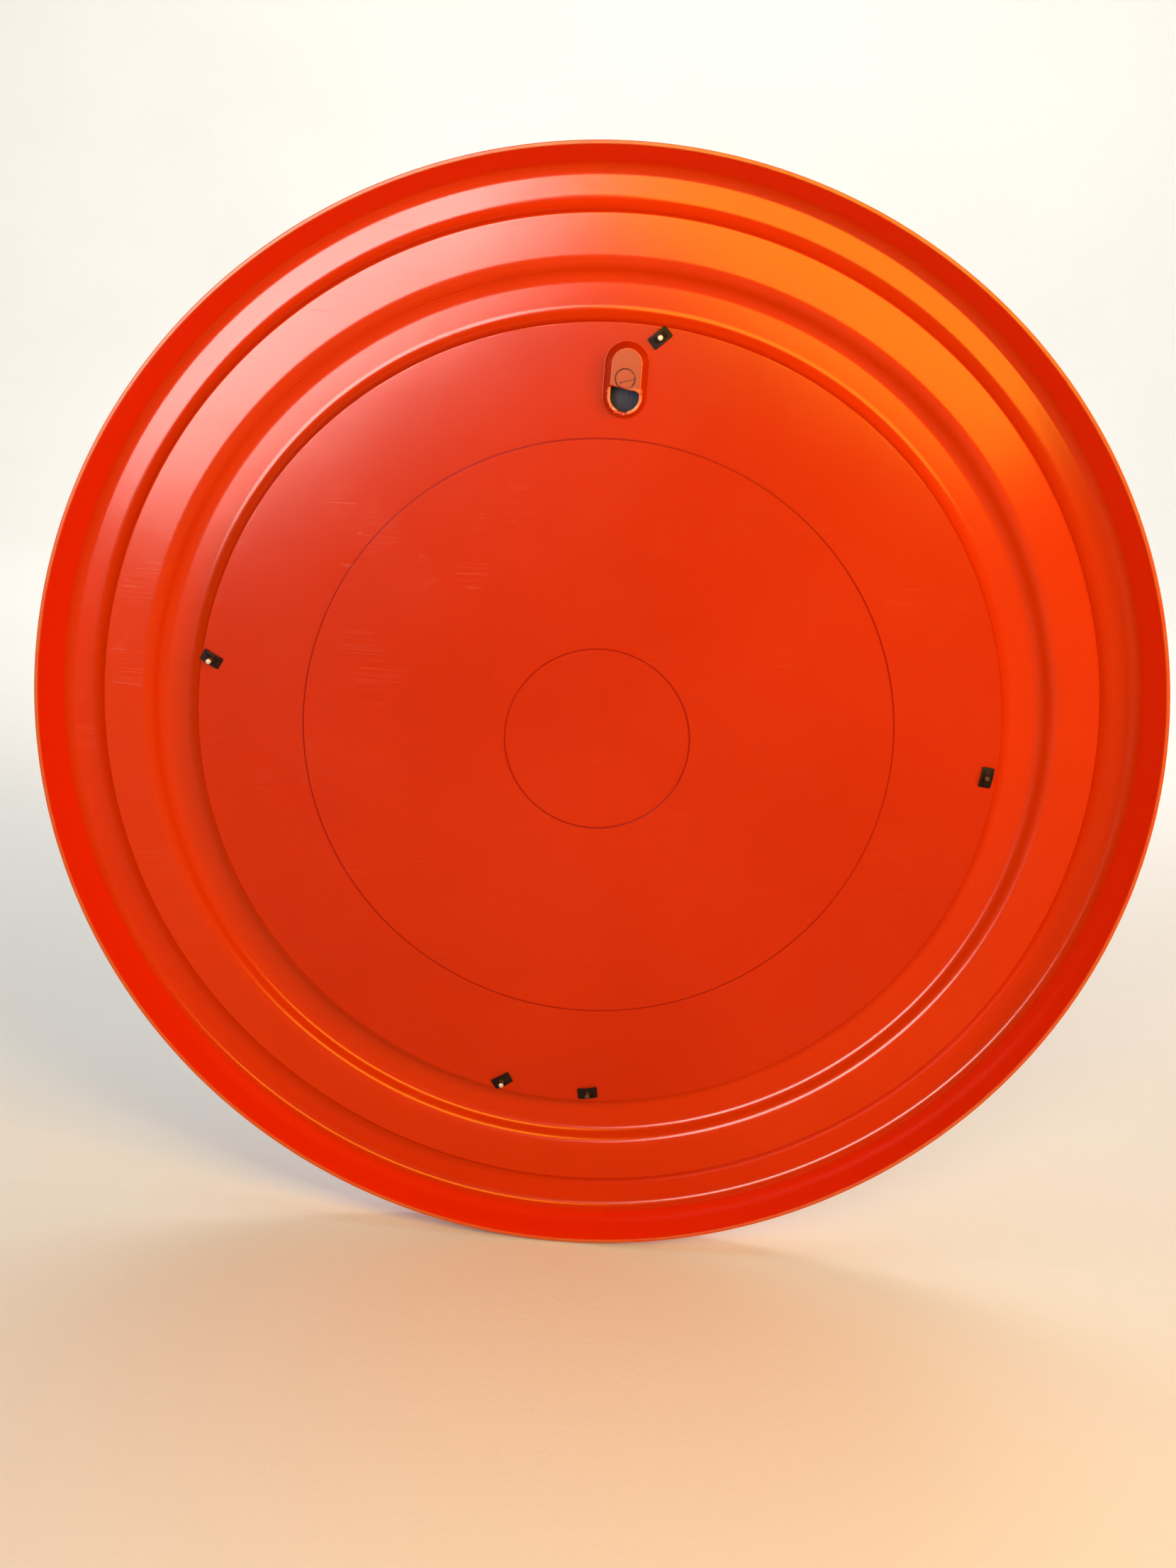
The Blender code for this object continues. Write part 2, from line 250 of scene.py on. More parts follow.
def turned_mesh(name, points, steps=TURN_STEPS):
    """A closed profile turned about z. The points run down its outer side, front to back."""
    bm = bmesh.new()
    verts = [bm.verts.new((p.x, 0.0, p.y)) for p in points]
    edges = [bm.edges.new(pair) for pair in zip(verts, verts[1:])]
    if points[0].x > 0:
        edges.append(bm.edges.new((verts[-1], verts[0])))
    bmesh.ops.spin(bm, geom=verts + edges, axis=(0, 0, 1), cent=(0, 0, 0),
                   angle=2 * math.pi, steps=steps, use_merge=True)
    bmesh.ops.remove_doubles(bm, verts=bm.verts, dist=0.000002)
    bmesh.ops.recalc_face_normals(bm, faces=bm.faces)
    return mesh_from(bm, name)


def lofted_pill(name, levels):
    """A closed pill-shaped solid round the hood's centre, through (z, half width, half length)."""
    bm = bmesh.new()
    rings = []
    for z, half_width, half_length in levels:
        ring = []
        for point in pill_outline(half_width, half_length):
            place = Vector((point.x, HOOD_CENTRE + point.y, z))
            ring.append(bm.verts.new(place))
        rings.append(ring)
    for lower, upper in zip(rings, rings[1:]):
        for i in range(len(lower)):
            j = (i + 1) % len(lower)
            bm.faces.new((lower[i], lower[j], upper[j], upper[i]))
    bm.faces.new(rings[0])
    bm.faces.new(rings[-1])
    bmesh.ops.recalc_face_normals(bm, faces=bm.faces)
    return add_object(name, mesh_from(bm, name))


def combine(piece, tool, operation="DIFFERENCE"):
    """Joins or cuts with a Boolean that is applied at once, and removes the tool."""
    boolean = piece.modifiers.new(operation, "BOOLEAN")
    boolean.operation = operation
    boolean.solver = "EXACT"
    boolean.object = tool
    apply_modifiers(piece)
    bpy.data.objects.remove(tool, do_unlink=True)


def apply_modifiers(piece):
    graph = bpy.context.evaluated_depsgraph_get()
    mesh = bpy.data.meshes.new_from_object(piece.evaluated_get(graph))
    piece.modifiers.clear()
    piece.data = mesh


def smooth(piece, angle=32):
    """Smooth shading that stays flat on large faces and breaks at real edges."""
    piece.data.shade_smooth()
    piece.data.set_sharp_from_angle(angle=math.radians(angle))
    weighted = piece.modifiers.new("weighted", "WEIGHTED_NORMAL")
    weighted.keep_sharp = True
    weighted.weight = 80


def finish_piece(piece, slot, *nodes):
    """Rides on the one body and stands for its CAD nodes, which it hides; the slot argument is not
    used.
    """
    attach(piece, "root")
    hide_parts(*nodes)
    return piece


# ================================================================ material helpers
class Nodes:
    """A short way to write a node tree: each call adds one node and returns its output."""

    def __init__(self, name):
        self.material = bpy.data.materials.new(name)
        self.material.use_nodes = True
        self.tree = self.material.node_tree
        self.shader = self.tree.nodes["Principled BSDF"]
        where = self.add("ShaderNodeTexCoord")
        self.place = where.outputs["Object"]

    def add(self, kind, **settings):
        node = self.tree.nodes.new(kind)
        for key, value in settings.items():
            setattr(node, key, value)
        return node

    def feed(self, socket, value):
        if isinstance(value, bpy.types.NodeSocket):
            self.tree.links.new(value, socket)
        else:
            socket.default_value = value

    def set(self, **values):
        """Sets or links inputs of the Principled shader; underscores stand for spaces."""
        for key, value in values.items():
            self.feed(self.shader.inputs[key.replace("_", " ")], value)

    def math(self, operation, a, b=0.0, c=0.0):
        node = self.add("ShaderNodeMath", operation=operation)
        for socket, value in zip(node.inputs, (a, b, c)):
            self.feed(socket, value)
        return node.outputs[0]

    def scaled(self, vector, scale, turn=0.0):
        node = self.add("ShaderNodeMapping")
        self.feed(node.inputs["Vector"], vector)
        node.inputs["Rotation"].default_value = (0.0, 0.0, turn)
        node.inputs["Scale"].default_value = scale
        return node.outputs[0]

    def noise(self, vector, scale, detail=2.0, roughness=0.5, distortion=0.0):
        node = self.add("ShaderNodeTexNoise")
        self.feed(node.inputs["Vector"], vector)
        node.inputs["Scale"].default_value = scale
        node.inputs["Detail"].default_value = detail
        node.inputs["Roughness"].default_value = roughness
        node.inputs["Distortion"].default_value = distortion
        return node.outputs["Fac"]

    def spots(self, vector, scale):
        """Distance to the nearest scattered point, and a random value for that point."""
        node = self.add("ShaderNodeTexVoronoi")
        self.feed(node.inputs["Vector"], vector)
        node.inputs["Scale"].default_value = scale
        return node.outputs["Distance"], node.outputs["Color"]

    def ramp(self, value, low, high, to_low=0.0, to_high=1.0):
        """Maps low..high to to_low..to_high smoothly, held beyond both ends."""
        node = self.add("ShaderNodeMapRange", interpolation_type="SMOOTHSTEP")
        self.feed(node.inputs["Value"], value)
        for key, bound in (("From Min", low), ("From Max", high),
                           ("To Min", to_low), ("To Max", to_high)):
            node.inputs[key].default_value = bound
        return node.outputs["Result"]

    def mix(self, factor, a, b):
        node = self.add("ShaderNodeMix", data_type="RGBA")
        self.feed(node.inputs["Factor"], factor)
        self.feed(node.inputs[6], colour(a))
        self.feed(node.inputs[7], colour(b))
        return node.outputs[2]

    def split(self, vector):
        node = self.add("ShaderNodeSeparateXYZ")
        self.feed(node.inputs[0], vector)
        return node.outputs

    def length(self, x, y):
        return self.math("SQRT", self.math("ADD", self.math("MULTIPLY", x, x),
                                           self.math("MULTIPLY", y, y)))

    def radius(self):
        x, y, _ = self.split(self.place)
        return self.length(x, y)

    def segment(self, x, y, start, end, inner, outer):
        """1 within `inner` of the line from start to end, falling to 0 at `outer`."""
        run = Vector(end) - Vector(start)
        from_x = self.math("SUBTRACT", x, start[0])
        from_y = self.math("SUBTRACT", y, start[1])
        share = 1 / max(run.length_squared, 1e-12)
        along = self.math("MULTIPLY_ADD", from_x, run.x * share,
                          self.math("MULTIPLY", from_y, run.y * share))
        held = self.math("MINIMUM", self.math("MAXIMUM", along, 0.0), 1.0)
        gap_x = self.math("MULTIPLY_ADD", held, -run.x, from_x)
        gap_y = self.math("MULTIPLY_ADD", held, -run.y, from_y)
        return self.ramp(self.length(gap_x, gap_y), inner, outer, 1.0, 0.0)

    def bump(self, height, depth, before=None):
        """Bump of a height map of 0..1 that is this many metres deep."""
        node = self.add("ShaderNodeBump")
        node.inputs["Strength"].default_value = 1.0
        node.inputs["Distance"].default_value = depth
        self.feed(node.inputs["Height"], height)
        if before is not None:
            self.feed(node.inputs["Normal"], before)
        return node.outputs[0]


def colour(value):
    return (*value, 1.0) if isinstance(value, tuple) and len(value) == 3 else value


def scratches(n, turn, fine, long, threshold):
    """Thin straight scratches in one direction, broken into short stretches."""
    across = n.noise(n.scaled(n.place, (long, fine, long), turn), 1.0, detail=1.0)
    line = n.ramp(n.math("ABSOLUTE", n.math("SUBTRACT", across, 0.5)), 0.0, 0.004, 1.0, 0.0)
    patch = n.ramp(n.noise(n.scaled(n.place, (1, 1, 1), turn), 26.0), threshold, threshold + 0.03)
    return n.math("MULTIPLY", line, patch)


# ================================================================ materials
def orange_plastic():
    n = Nodes("orange_plastic")
    radius = n.radius()
    _, _, z = n.split(n.place)
    cloud = n.noise(n.place, 7.0, detail=3.0)
    backed = n.mix(n.ramp(cloud, 0.35, 0.65), (0.500, 0.0350, 0.0003), (0.530, 0.0390, 0.0004))
    unbacked_with_painted_glow = n.mix(n.ramp(cloud, 0.35, 0.65), (0.560, 0.0460, 0.0004), (0.590, 0.0505, 0.0006))
    # Only the plate has the glass close in front of it; the thinner rest is painted paler, a
    # painted glow of light through the thin plastic
    base = n.mix(n.ramp(radius, PLATE_RADIUS, PLATE_RADIUS + 0.0008), backed, unbacked_with_painted_glow)
    # Painted glow: the rim wall beyond its foot is painted a brighter red, as light through its
    # thin plastic
    base = n.mix(n.ramp(radius, RIM_WALL_FOOT, RIM_WALL_FOOT + 0.0015), base,
                 (0.730, 0.0330, 0.0003))

    # Paler lip: a painted glow of light through the thin edge, made uneven by a wear pattern
    at_top = n.ramp(z, -RIM_HEIGHT + 0.0003, -RIM_HEIGHT + 0.0010, 1.0, 0.0)
    lip = n.math("MULTIPLY", at_top, n.ramp(radius, RIM_RADIUS - 0.0030, RIM_RADIUS - 0.0020))
    wear = n.noise(n.place, 90.0, detail=4.0, roughness=0.7)
    lip_wear_and_glow = n.math("MULTIPLY", lip, n.ramp(wear, 0.30, 0.60, 0.55, 1.0))
    base = n.mix(lip_wear_and_glow, base, (0.60, 0.125, 0.018))

    # Painted shade: a dark line along the corners of the two fine steps of the plate, uneven with
    # the cloud noise
    for corner in (HUB_RADIUS, FIELD_RADIUS):
        away = n.math("ABSOLUTE", n.math("SUBTRACT", radius, corner))
        held = n.math("MULTIPLY", n.ramp(away, 0.00015, 0.0006, 1.0, 0.0),
                      n.ramp(cloud, 0.30, 0.70, 0.60, 0.90))
        base = n.mix(held, base, (0.30, 0.010, 0.001))

    # The hood's face is browner and duller than the plate, with a painted highlight along its
    # rounded edge
    x, y, _ = n.split(n.place)
    on_plate = n.ramp(radius, PLATE_RADIUS - 0.00105, PLATE_RADIUS - 0.00005, 1.0, 0.0)
    hood_face = n.ramp(z, -HOOD_HEIGHT + 0.0001, -HOOD_HEIGHT + 0.0009, 1.0, 0.0)
    hood_face = n.math("MULTIPLY", hood_face, on_plate)
    base = n.mix(n.math("MULTIPLY", hood_face, 0.8), base, (0.38, 0.066, 0.008))
    # Painted highlight: a pale band all round the face's rounded edge
    face_edge_highlight = n.math("MULTIPLY", n.ramp(z, -HOOD_HEIGHT + 0.00005, -HOOD_HEIGHT + 0.00012),
                       n.ramp(z, -HOOD_HEIGHT + 0.00035, -HOOD_HEIGHT + 0.0006, 1.0, 0.0))
    face_edge_highlight = n.math("MULTIPLY", face_edge_highlight, on_plate)
    base = n.mix(n.math("MULTIPLY", face_edge_highlight, 0.75), base, (0.86, 0.30, 0.15))

    # Ejector mark on the hood's face: painted shade darkens its groove, unevenly, and a dark
    # scratch runs across it
    across = n.math("SUBTRACT", x, EJECTOR_MARK[0])
    above = n.math("SUBTRACT", y, EJECTOR_MARK[1])
    from_mark = n.length(across, above)
    off_ring = n.math("ABSOLUTE", n.math("SUBTRACT", from_mark, EJECTOR_RADIUS))
    uneven_groove_shade = n.ramp(n.noise(n.place, 520.0, detail=3.0), 0.35, 0.55, 0.45, 1.0)
    groove_shade_and_scratch = n.math("MULTIPLY", n.ramp(off_ring, 0.00020, 0.00050, 1.0, 0.0), uneven_groove_shade)
    groove_shade_and_scratch = n.math("MAXIMUM", groove_shade_and_scratch, n.segment(x, y, SCRATCH_FROM, SCRATCH_TO, 0.00010, 0.00030))
    groove_shade_and_scratch = n.math("MAXIMUM", groove_shade_and_scratch, n.segment(x, y, SCRATCH_FROM, SCRATCH_FROM, 0.0003, 0.0006))
    base = n.mix(n.math("MULTIPLY", groove_shade_and_scratch, n.math("MULTIPLY", hood_face, 0.95)), base,
                 (0.10, 0.008, 0.002))

    # Torn rim round the hanger's mouth
    in_mouth = n.math("MULTIPLY", n.ramp(y, MOUTH_TOP - 0.0006, MOUTH_TOP + 0.0006, 1.0, 0.0),
                      n.ramp(n.math("ABSOLUTE", x), HOOD_HALF_WIDTH + 0.0015,
                             HOOD_HALF_WIDTH + 0.0020, 1.0, 0.0))
    foot = HOOD_CENTRE - HOOD_HALF_LENGTH
    in_mouth = n.math("MULTIPLY", in_mouth, n.ramp(y, foot - 0.0040, foot - 0.0030))
    torn = n.math("MULTIPLY", in_mouth,
                  n.ramp(z, -MOUTH_RIM_HEIGHT + 0.0001, -MOUTH_RIM_HEIGHT + 0.0006, 1.0, 0.0))
    torn_grain = n.ramp(n.noise(n.place, 700.0, detail=3.0), 0.35, 0.65, 0.55, 1.0)
    base = n.mix(n.math("MULTIPLY", torn, torn_grain), base, (0.86, 0.27, 0.12))

    # Specks of dust and small marks
    distance, pick = n.spots(n.place, 75.0)
    picked = n.ramp(n.split(pick)[0], 0.86, 0.88)
    speck = n.math("MULTIPLY", n.ramp(distance, 0.010, 0.024, 1.0, 0.0), picked)
    base = n.mix(n.math("MULTIPLY", speck, 0.5), base, (0.20, 0.012, 0.002))
    pale_distance, pale_pick = n.spots(n.place, 41.0)
    pale_picked = n.ramp(n.split(pale_pick)[1], 0.90, 0.92)
    pale = n.math("MULTIPLY", n.ramp(pale_distance, 0.006, 0.016, 1.0, 0.0), pale_picked)
    base = n.mix(n.math("MULTIPLY", pale, 0.55), base, (0.85, 0.35, 0.20))

    marks = scratches(n, 0.45, 420.0, 9.0, 0.60)
    for turn, fine, long, threshold in ((2.2, 380.0, 7.0, 0.62), (1.3, 460.0, 12.0, 0.63)):
        marks = n.math("MAXIMUM", marks, scratches(n, turn, fine, long, threshold))
    base = n.mix(n.math("MULTIPLY", marks, 0.07), base, (0.90, 0.25, 0.10))

    smear = n.noise(n.place, 12.0, detail=4.0, roughness=0.6, distortion=0.4)
    roughness = n.ramp(smear, 0.3, 0.7, 0.175, 0.205)
    roughness = n.math("ADD", roughness, n.math("MULTIPLY", hood_face, 0.17))
    roughness = n.math("ADD", roughness, n.math("MULTIPLY", marks, 0.06))
    roughness = n.math("ADD", roughness, n.math("MULTIPLY", lip, 0.12))

    skin = n.bump(n.noise(n.place, 900.0, detail=2.0), 0.000012)
    skin = n.bump(n.noise(n.place, 38.0, detail=2.0), 0.00005, skin)
    skin = n.bump(marks, -0.000006, skin)
    n.set(Base_Color=base, Roughness=roughness, Normal=skin, IOR=1.50,
          Specular_IOR_Level=0.78)
    return n.material


def mirror_silver():
    n = Nodes("mirror_silver")
    radius = n.radius()
    haze = n.noise(n.place, 9.0, detail=4.0, roughness=0.6)
    distance, pick = n.spots(n.place, 130.0)
    aged = n.math("MULTIPLY", n.ramp(radius, 0.155, 0.170),
                  n.ramp(n.split(pick)[0], 0.80, 0.86))
    spot = n.math("MULTIPLY", n.ramp(distance, 0.04, 0.16, 1.0, 0.0), aged)
    base = n.mix(n.ramp(haze, 0.3, 0.7), (0.88, 0.90, 0.895), (0.90, 0.915, 0.91))
    base = n.mix(spot, base, (0.16, 0.14, 0.12))
    roughness = n.ramp(haze, 0.40, 0.75, 0.008, 0.035)
    n.set(Base_Color=base, Roughness=n.math("ADD", roughness, n.math("MULTIPLY", spot, 0.3)),
          Metallic=1.0)
    return n.material


def glass_edge():
    n = Nodes("glass_edge")
    seam = n.noise(n.scaled(n.place, (60, 60, 1400)), 1.0, detail=3.0)
    base = n.mix(n.ramp(seam, 0.35, 0.65), (0.16, 0.34, 0.28), (0.28, 0.46, 0.39))
    n.set(Base_Color=base, Roughness=n.ramp(seam, 0.3, 0.7, 0.12, 0.30), IOR=1.52,
          Normal=n.bump(seam, 0.00006))
    return n.material


def mirror_back_paint():
    n = Nodes("mirror_back_paint")
    brushed = n.noise(n.scaled(n.place, (900, 60, 60)), 1.0, detail=3.0)
    cloud = n.noise(n.place, 45.0, detail=3.0)
    base = n.mix(n.ramp(brushed, 0.3, 0.7), (0.030, 0.036, 0.105), (0.050, 0.058, 0.140))
    base = n.mix(n.ramp(cloud, 0.45, 0.75, 0.0, 0.4), base, (0.055, 0.052, 0.092))
    n.set(Base_Color=base, Roughness=n.ramp(cloud, 0.3, 0.7, 0.42, 0.58),
          Normal=n.bump(brushed, 0.00003))
    return n.material


def ring_aluminium():
    n = Nodes("ring_aluminium")
    radius = n.radius()
    _, _, z = n.split(n.place)
    along = n.add("ShaderNodeCombineXYZ")
    n.feed(along.inputs[0], n.math("MULTIPLY", radius, 9000.0))
    n.feed(along.inputs[1], n.math("MULTIPLY", z, 9000.0))
    drawn = n.noise(along.outputs[0], 1.0, detail=2.0)
    cloud = n.noise(n.place, 22.0, detail=4.0, roughness=0.65)
    base = n.mix(n.ramp(cloud, 0.35, 0.7), (0.83, 0.83, 0.82), (0.74, 0.735, 0.72))
    distance, pick = n.spots(n.place, 160.0)
    pit = n.math("MULTIPLY", n.ramp(distance, 0.03, 0.09, 1.0, 0.0),
                 n.ramp(n.split(pick)[0], 0.88, 0.90))
    base = n.mix(n.math("MULTIPLY", pit, 0.7), base, (0.30, 0.29, 0.27))
    roughness = n.math("ADD", n.ramp(drawn, 0.3, 0.7, 0.16, 0.26),
                       n.math("MULTIPLY", pit, 0.25))
    n.set(Base_Color=base, Metallic=1.0, Roughness=roughness,
          Normal=n.bump(pit, -0.00003, n.bump(drawn, 0.000006)))
    return n.material


def stud_steel():
    n = Nodes("stud_steel")
    cuts = n.noise(n.scaled(n.place, (2600, 300, 300), 0.6), 1.0, detail=2.0)
    cloud = n.noise(n.place, 900.0, detail=2.0)
    base = n.mix(n.ramp(cloud, 0.35, 0.65), (0.86, 0.82, 0.72), (0.72, 0.65, 0.54))
    _, _, z = n.split(n.place)
    end = PLATE_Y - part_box("stud_top")[1][1]
    # Painted shade: the stud's shank is painted dark brown, and only its cut end keeps the pale
    # cream steel colour, so the end reads as a lit disc
    base = n.mix(n.ramp(z, end + 0.00025, end + 0.0006, 1.0, 0.0), (0.16, 0.09, 0.05), base)
    n.set(Base_Color=base, Metallic=0.35, Roughness=n.ramp(cuts, 0.3, 0.7, 0.38, 0.52),
          Normal=n.bump(cuts, 0.00002))
    return n.material


def spring_steel():
    n = Nodes("spring_steel")
    cloud = n.noise(n.place, 420.0, detail=4.0, roughness=0.65)
    grain = n.noise(n.place, 5200.0, detail=2.0)
    base = n.mix(n.ramp(cloud, 0.35, 0.68), (0.018, 0.008, 0.006), (0.042, 0.018, 0.011))
    worn = n.ramp(n.noise(n.place, 1500.0, detail=3.0, roughness=0.7), 0.64, 0.74)
    base = n.mix(n.math("MULTIPLY", worn, 0.6), base, (0.30, 0.19, 0.10))
    n.set(Base_Color=base, Metallic=n.ramp(worn, 0.0, 1.0, 0.10, 0.5),
          Roughness=n.ramp(cloud, 0.3, 0.7, 0.46, 0.60), Normal=n.bump(grain, 0.00001))
    return n.material


def studio_pale():
    n = Nodes("studio_pale")
    cloud = n.noise(n.place, 1.2, detail=3.0)
    base = n.mix(n.ramp(cloud, 0.35, 0.65), (0.80, 0.79, 0.77), (0.83, 0.82, 0.80))
    grain = n.noise(n.place, 260.0, detail=3.0)
    n.set(Base_Color=base, Roughness=n.ramp(grain, 0.3, 0.7, 0.62, 0.75),
          Normal=n.bump(grain, 0.00015))
    return n.material


# ================================================================ the moulded shell
def shell_profile():
    """Closed profile of the moulding: along its front, round the lip and back along its rear."""
    rear = [
        (0.0, 0.0, 0.0),
        (PLATE_RADIUS, 0.0, PLATE_EDGE_ROUND),
        (PLATE_RADIUS + INNER_WALL_RUN, CHANNEL_DEPTH, PLATE_FOOT_FILLET),
        (BAND_INNER_WALL[0], CHANNEL_DEPTH, BAND_FOOT_FILLET),
        (BAND_INNER_WALL[1], STEP_DEPTH, BAND_SHOULDER_ROUND),
        (BAND_OUTER_WALL[0], STEP_DEPTH, BAND_EDGE_ROUND),
        (BAND_OUTER_WALL[1], CHANNEL_DEPTH, OUTER_CHANNEL_FILLET),
        (RIM_WALL_FOOT, CHANNEL_DEPTH, RIM_FOOT_FILLET),
        (RIM_RADIUS - LIP_WIDTH, -RIM_HEIGHT, LIP_ROUND),
        (RIM_RADIUS, -RIM_HEIGHT, LIP_ROUND),
    ]
    front = offset_line(rear[:-1], WALL)[:-1]
    raised_field = [
        (HUB_RADIUS, 0.0, FIELD_EDGE_ROUND),
        (HUB_RADIUS + FIELD_RISE, -FIELD_RISE, FIELD_EDGE_ROUND),
        (FIELD_RADIUS - FIELD_RISE, -FIELD_RISE, FIELD_EDGE_ROUND),
        (FIELD_RADIUS, 0.0, FIELD_EDGE_ROUND),
    ]
    rear[1:1] = raised_field
    return with_guards(rounded_line(front + rear[::-1]))


def hood_levels(grow, z_foot, z_top, top_round, flare=0.0):
    """(z, half width, half length) of the hood from its foot to its top, drafted inwards."""
    flare_steps, round_steps = 6, 5
    sink = 0.00003               # the flare starts this far inside the plate
    outlines = [(z_foot, flare)]
    if flare:
        for i in range(flare_steps + 1):
            angle = math.pi / 2 * i / flare_steps
            z = -flare * (1 - math.cos(angle)) + sink
            out = flare * (1 - math.sin(angle))
            outlines.append((z, out - HOOD_DRAFT * max(-z, 0.0) / HOOD_HEIGHT))
    for i in range(round_steps + 1):
        angle = math.pi / 2 * i / round_steps
        z = z_top + top_round * (1 - math.sin(angle))
        inset = HOOD_DRAFT * -z / HOOD_HEIGHT + top_round * (1 - math.cos(angle))
        outlines.append((z, -inset))
    return [(z, HOOD_HALF_WIDTH + grow + out, HOOD_HALF_LENGTH + grow + out)
            for z, out in outlines]


def mouth_edge(x):
    """Height of the hood's lower edge at x: slanted and a little ragged."""
    ragged = 0.00030 * noise.noise(Vector((x * 420, 3.1, 0.0)))
    ragged += 0.00014 * noise.noise(Vector((x * 1500, 7.7, 0.0)))
    return MOUTH_TOP + 0.0004 + ragged + x * math.tan(math.radians(MOUTH_SLANT))


def mouth_rim(x, y):
    """Depth of the torn rim round the mouth; its foot has a chipped stretch."""
    depth = -MOUTH_RIM_HEIGHT + 0.00016 * noise.noise(Vector((x * 600, y * 600, 5.0)))
    depth += 0.00008 * noise.noise(Vector((x * 2100, y * 2100, 1.0)))
    at_foot = y < HOOD_CENTRE - HOOD_HALF_LENGTH + 0.0034
    if at_foot and CHIP_FROM < x < CHIP_TO:
        depth += 0.0011
    elif at_foot and CHIP_TO <= x < CHIP_TO + 0.0016:
        depth += 0.0006
    return depth


def mouth_tool():
    """Cuts away the hood above the mouth's rim and below its lower edge."""
    reach = 0.016
    slope = 0.0016
    far = -0.030
    columns, rows = 96, 40
    bm = bmesh.new()
    sections = []
    for i in range(columns + 1):
        x = -reach + 2 * reach * i / columns
        top = mouth_edge(x)
        bottom = HOOD_CENTRE - 2 * HOOD_HALF_LENGTH
        outline = [(top, far), (top, -HOOD_HEIGHT)]
        for j in range(rows + 1):
            y = top - slope + (bottom - top + slope) * j / rows
            outline.append((y, mouth_rim(x, y)))
        outline.append((bottom, far))
        sections.append([bm.verts.new((x, y, z)) for y, z in outline])
    for before, after in zip(sections, sections[1:]):
        for i in range(len(before)):
            j = (i + 1) % len(before)
            bm.faces.new((before[i], before[j], after[j], after[i]))
    bm.faces.new(sections[0])
    bm.faces.new(sections[-1])
    bmesh.ops.recalc_face_normals(bm, faces=bm.faces)
    return add_object("mouth_tool", mesh_from(bm, "mouth_tool"))


def torn_slivers():
    """Slivers of flash left standing on the mouth's rim."""
    bm = bmesh.new()
    for foot, tip, width in TORN_SLIVERS:
        foot, tip = Vector(foot), Vector(tip)
        along = (tip - foot).normalized()
        side = along.cross(Vector((0, 0, 1))).normalized()
        deep = along.cross(side)
        rings = []
        for part, share in ((-0.25, 1.0), (0.0, 1.0), (0.45, 0.62), (0.8, 0.30), (1.0, 0.06)):
            middle = foot.lerp(tip, part) + side * width * 0.22 * math.sin(part * 5)
            half = width / 2 * share
            rings.append([bm.verts.new(middle + side * half * u + deep * half * 0.55 * v)
                          for u, v in ((-1, -0.7), (0, -1), (1, -0.6), (0.9, 0.8), (-0.9, 1))])
        for before, after in zip(rings, rings[1:]):
            for i in range(5):
                j = (i + 1) % 5
                bm.faces.new((before[i], before[j], after[j], after[i]))
        bm.faces.new(rings[0])
        bm.faces.new(rings[-1])
    bmesh.ops.recalc_face_normals(bm, faces=bm.faces)
    return add_object("torn_slivers", mesh_from(bm, "torn_slivers"))


def ejector_groove():
    """The faint ring that an ejector pin leaves on the hood's face."""
    bm = bmesh.new()
    steps, sides = 64, 8
    rings = []
    for i in range(steps):
        angle = 2 * math.pi * i / steps
        uneven = EJECTOR_RADIUS * (1 + 0.02 * math.sin(2 * angle) + 0.012 * math.sin(5 * angle))
        ring = []
        for j in range(sides):
            tilt = 2 * math.pi * j / sides
            radius = uneven + EJECTOR_GROOVE * math.cos(tilt)
            ring.append(bm.verts.new((EJECTOR_MARK[0] + radius * math.cos(angle),
                                      EJECTOR_MARK[1] + radius * math.sin(angle),
                                      -HOOD_HEIGHT + EJECTOR_GROOVE * math.sin(tilt))))
        rings.append(ring)
    for i in range(steps):
        a, b = rings[i], rings[(i + 1) % steps]
        for j in range(sides):
            k = (j + 1) % sides
            bm.faces.new((a[j], a[k], b[k], b[j]))
    bmesh.ops.recalc_face_normals(bm, faces=bm.faces)
    return add_object("ejector_groove", mesh_from(bm, "ejector_groove"))


def stud_holes():
    bm = bmesh.new()
    for angle, _ in FIXINGS.values():
        matrix = Matrix.Translation(on_circle(STUD_CIRCLE, angle))
        bmesh.ops.create_cone(bm, cap_ends=True, segments=32, radius1=STUD_HOLE,
                              radius2=STUD_HOLE, depth=4 * WALL, matrix=matrix)
    return add_object("stud_holes", mesh_from(bm, "stud_holes"))


def roughen_edges(mesh):
    """Tiny waviness along the plate's edge and along the lip, where the mould parts."""
    for vert in mesh.vertices:
        x, y, z = vert.co
        radius = math.hypot(x, y)
        if radius < PLATE_RADIUS - 0.002:
            continue
        at_plate = abs(radius - PLATE_RADIUS) < 0.0009 and abs(z) < 0.0012
        at_lip = z < -RIM_HEIGHT + 0.0006
        if not (at_plate or at_lip):
            continue
        around = Vector((x, y, 0.0)) / radius
        wave = noise.noise(around * 40) + 0.5 * noise.noise(around * 140)
        if at_plate:
            vert.co -= around * (0.00014 * abs(wave))
            vert.co.z += 0.00005 * wave
        else:
            vert.co.z += 0.00007 * max(wave, 0.0)


def make_shell(plastic):
    shell = add_object("frame_moulding", turned_mesh("frame_moulding", shell_profile()), plastic)
    roughen_edges(shell.data)
    outer = hood_levels(0.0, WALL / 2, -HOOD_HEIGHT, HOOD_EDGE_ROUND, HOOD_FLARE)
    combine(shell, lofted_pill("hood_outside", outer), "UNION")
    hollow = hood_levels(-HOOD_WALL, WALL + 0.002, HOOD_WALL - HOOD_HEIGHT, 0.0006)
    combine(shell, lofted_pill("hood_hollow", hollow))
    combine(shell, mouth_tool())
    combine(shell, ejector_groove())
    combine(shell, stud_holes())
    combine(shell, torn_slivers(), "UNION")
    smooth(shell)
    return finish_piece(shell, "orange_plastic", "back_shell")


